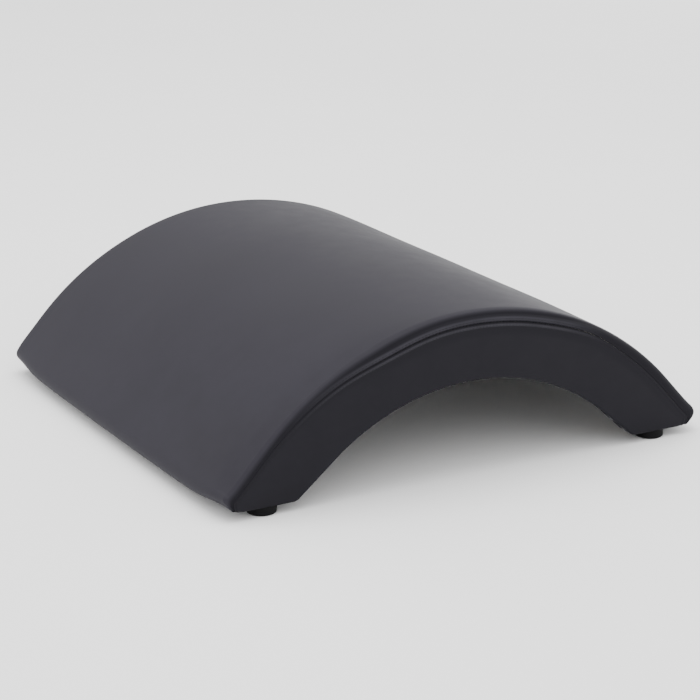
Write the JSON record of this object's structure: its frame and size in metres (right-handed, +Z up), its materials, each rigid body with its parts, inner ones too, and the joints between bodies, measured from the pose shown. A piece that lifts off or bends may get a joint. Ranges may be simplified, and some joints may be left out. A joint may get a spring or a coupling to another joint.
{
  "type": "pilates arc",
  "caption": "Low upholstered pilates arc: a padded vinyl crown over a dowelled plywood arch frame, open beneath and standing on short rubber feet.",
  "frame": {"origin": "on the floor, under the middle of the arc, at the bottom centre of the bounding box", "axes": "+X along the span, from the left leg to the right one; +Y across the width, from the front side face to the back one; +Z up"},
  "size_m": [0.605, 0.5916, 0.1858],
  "materials": {
    "vinyl_top": "charcoal upholstery vinyl, satin, fine grain",
    "vinyl_side": "near-black upholstery vinyl, satin, fine grain",
    "lining_cloth": "black non-woven dust cloth",
    "foam": "closed-cell upholstery foam",
    "plywood": "bare birch plywood",
    "pine": "bare planed pine",
    "beech": "bare beech dowel",
    "rubber": "matt black moulded rubber",
    "zinc_steel": "bright zinc-plated steel"
  },
  "bodies": {
    "root": {"cover_top_panel": "vinyl_top", "cover_front_panel": "vinyl_side", "cover_back_panel": "vinyl_side", "underside_lining": "lining_cloth", "top_foam": "foam", "front_side_foam": "foam", "back_side_foam": "foam", "top_deck": "plywood", "under_sheet": "plywood", "rib_1": "plywood", "rib_2": "plywood", "rib_3": "plywood", "rib_4": "plywood", "batten_1": "pine", "batten_2": "pine", "batten_3": "pine", "batten_4": "pine", "batten_5": "pine", "left_end_rail": "pine", "right_end_rail": "pine", "dowel_left_1": "beech", "dowel_left_2": "beech", "dowel_left_3": "beech", "dowel_left_4": "beech", "dowel_right_1": "beech", "dowel_right_2": "beech", "dowel_right_3": "beech", "dowel_right_4": "beech", "foot_front_left": "rubber", "foot_front_right": "rubber", "foot_back_left": "rubber", "foot_back_right": "rubber", "washer_front_left": "zinc_steel", "washer_front_right": "zinc_steel", "washer_back_left": "zinc_steel", "washer_back_right": "zinc_steel", "screw_front_left": "zinc_steel", "screw_front_right": "zinc_steel", "screw_back_left": "zinc_steel", "screw_back_right": "zinc_steel"}
  },
  "joints": []
}
